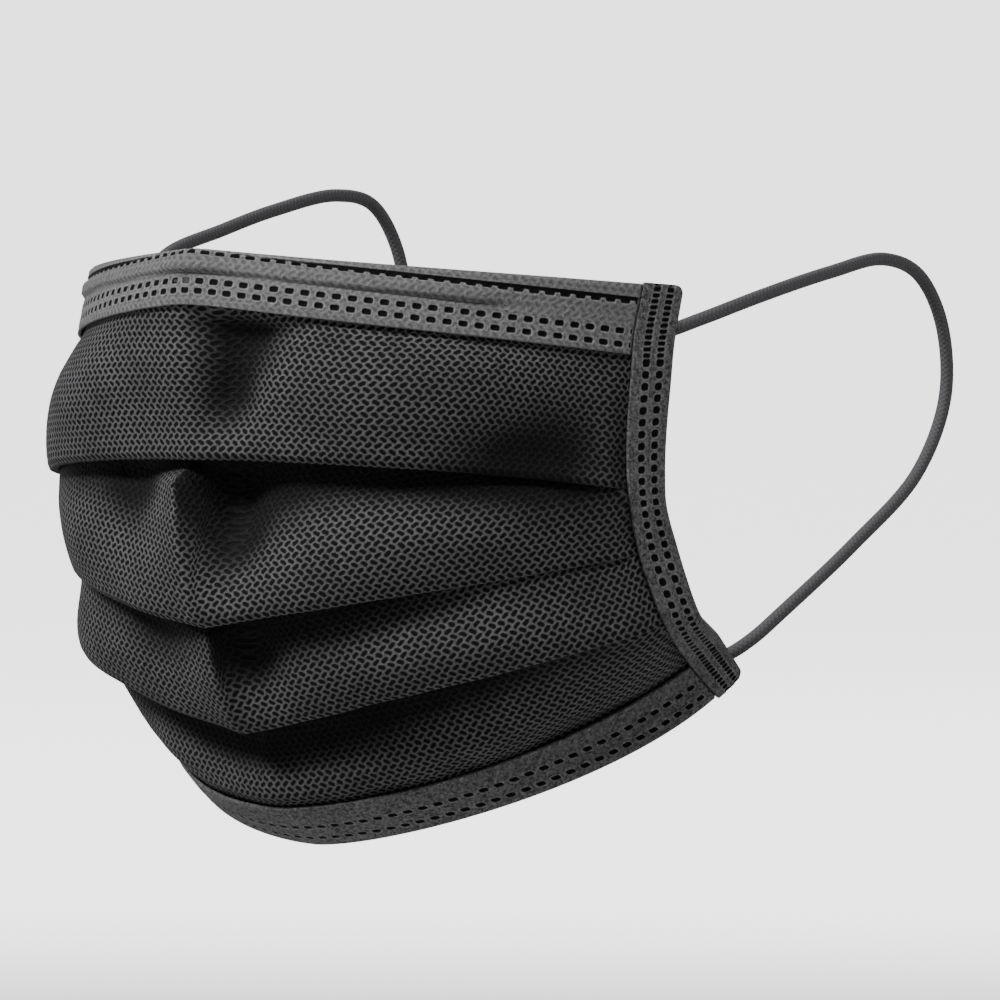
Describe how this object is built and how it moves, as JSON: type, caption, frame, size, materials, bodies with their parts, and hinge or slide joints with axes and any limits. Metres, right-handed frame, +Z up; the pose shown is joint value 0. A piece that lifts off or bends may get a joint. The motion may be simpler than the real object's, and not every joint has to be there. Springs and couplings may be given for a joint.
{
  "type": "pleated disposable face mask",
  "caption": "Black pleated face mask in its worn shape, with edge bands, side bindings, nose wire and two elastic ear loops.",
  "frame": {"origin": "middle of the top edge, where the mask sits on the bridge of the nose", "axes": "+X across the face toward the wearer's left, -Y out of the front of the mask, +Z up"},
  "size_m": [0.129, 0.1365, 0.1118],
  "materials": {
    "outer_cloth": "matt nonwoven with a fine embossed herringbone",
    "edge_band": "matt fibrous nonwoven with small dark weld marks",
    "elastic": "matt knitted elastic",
    "nose_wire": "matt plastic-coated strip"
  },
  "bodies": {
    "root": {"mask_body": "outer_cloth", "top_hem": "edge_band", "nose_wire": "nose_wire", "bottom_hem": "edge_band", "side_binding_left": "edge_band", "side_binding_right": "edge_band", "ear_loop_left": "elastic", "ear_loop_right": "elastic"}
  },
  "joints": []
}
